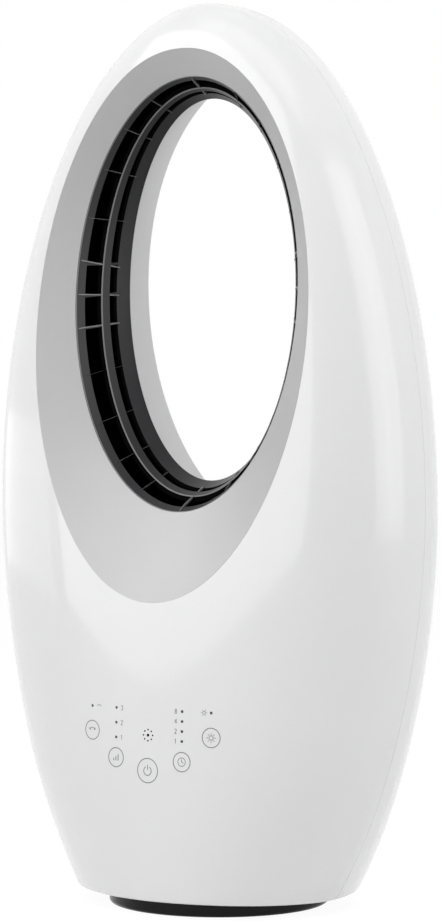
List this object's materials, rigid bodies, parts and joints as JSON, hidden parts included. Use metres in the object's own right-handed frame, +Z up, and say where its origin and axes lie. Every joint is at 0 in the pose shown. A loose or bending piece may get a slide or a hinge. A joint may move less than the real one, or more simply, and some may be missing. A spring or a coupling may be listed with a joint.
{
  "type": "bladeless fan",
  "caption": "Egg-shaped bladeless fan with an oval air loop, touch keys, hidden impeller and a round swivel base.",
  "frame": {"origin": "on the swivel axis, in the plane the rubber feet stand on", "axes": "+Z up along the swivel axis; the air leaves towards -Y, which is the front; +X is on the right for someone facing the front"},
  "size_m": [0.3376, 0.1738, 0.6184],
  "materials": {
    "white_casing": "gloss",
    "dark_grille": "satin",
    "silver_bezel": "satin",
    "silver_tube": "satin",
    "black_outlet": "satin",
    "black_base": "gloss",
    "black_inner": "matte",
    "grey_inner": "matte",
    "white_acetal": "satin",
    "light_diffuser": "translucent",
    "lamp_lens": "clear",
    "circuit_board": "satin",
    "key_pad": "satin",
    "bronze": "sintered",
    "steel": "brushed",
    "screw_steel": "zinc plated",
    "ballast": "cast",
    "rubber": "matte",
    "spindle_alloy": "satin"
  },
  "bodies": {
    "base": {"base_shell": "black_base", "base_plate": "black_inner", "base_screws": "screw_steel", "rubber_feet": "rubber", "base_weight": "ballast", "power_jack": "black_inner", "swivel_spindle": "spindle_alloy", "swing_gear": "white_acetal", "swivel_screws": "screw_steel", "slide_ring": "white_acetal", "retaining_washer": "steel", "retaining_screws": "screw_steel"},
    "head": {"front_casing": "white_casing", "rear_casing": "white_casing", "inlet_grille": "dark_grille", "seam_screws": "screw_steel", "front_bezel": "silver_bezel", "air_outlet_ring": "black_outlet", "rear_tube": "silver_tube", "night_light_strip": "light_diffuser", "touch_board": "circuit_board", "touch_pads": "key_pad", "lamp_pipes": "lamp_lens", "sounder": "black_inner", "swivel_bush": "bronze", "casing_floor": "grey_inner", "floor_screws": "screw_steel", "swing_motor": "steel", "swing_motor_screws": "screw_steel", "plenum_plate": "grey_inner", "duct_gasket": "rubber", "fan_duct": "grey_inner", "duct_screws": "screw_steel", "guide_vanes": "grey_inner", "motor_damper": "rubber", "fan_motor": "steel", "control_board": "circuit_board"},
    "rotor": {"motor_shaft": "steel", "impeller": "black_inner", "impeller_nut": "key_pad"},
    "pinion": {"swing_pinion": "white_acetal", "swing_shaft": "steel"}
  },
  "joints": [
    {"name": "swing", "type": "hinge", "parent": "base", "child": "head", "pos_m": [0, 0, 0.0196], "axis": [0, 0, 1], "range_deg": [-40, 40]},
    {"name": "pinion_spin", "type": "hinge", "parent": "head", "child": "pinion", "pos_m": [0.041, 0, 0.016], "axis": [0, 0, 1], "range_deg": [-143, 143]},
    {"name": "impeller_spin", "type": "hinge", "parent": "head", "child": "rotor", "pos_m": [0, 0, 0.127], "axis": [0, 0, 1], "continuous": true}
  ],
  "couplings": [
    {"joint": "pinion_spin", "follows": "swing", "ratio": 3.5556}
  ]
}
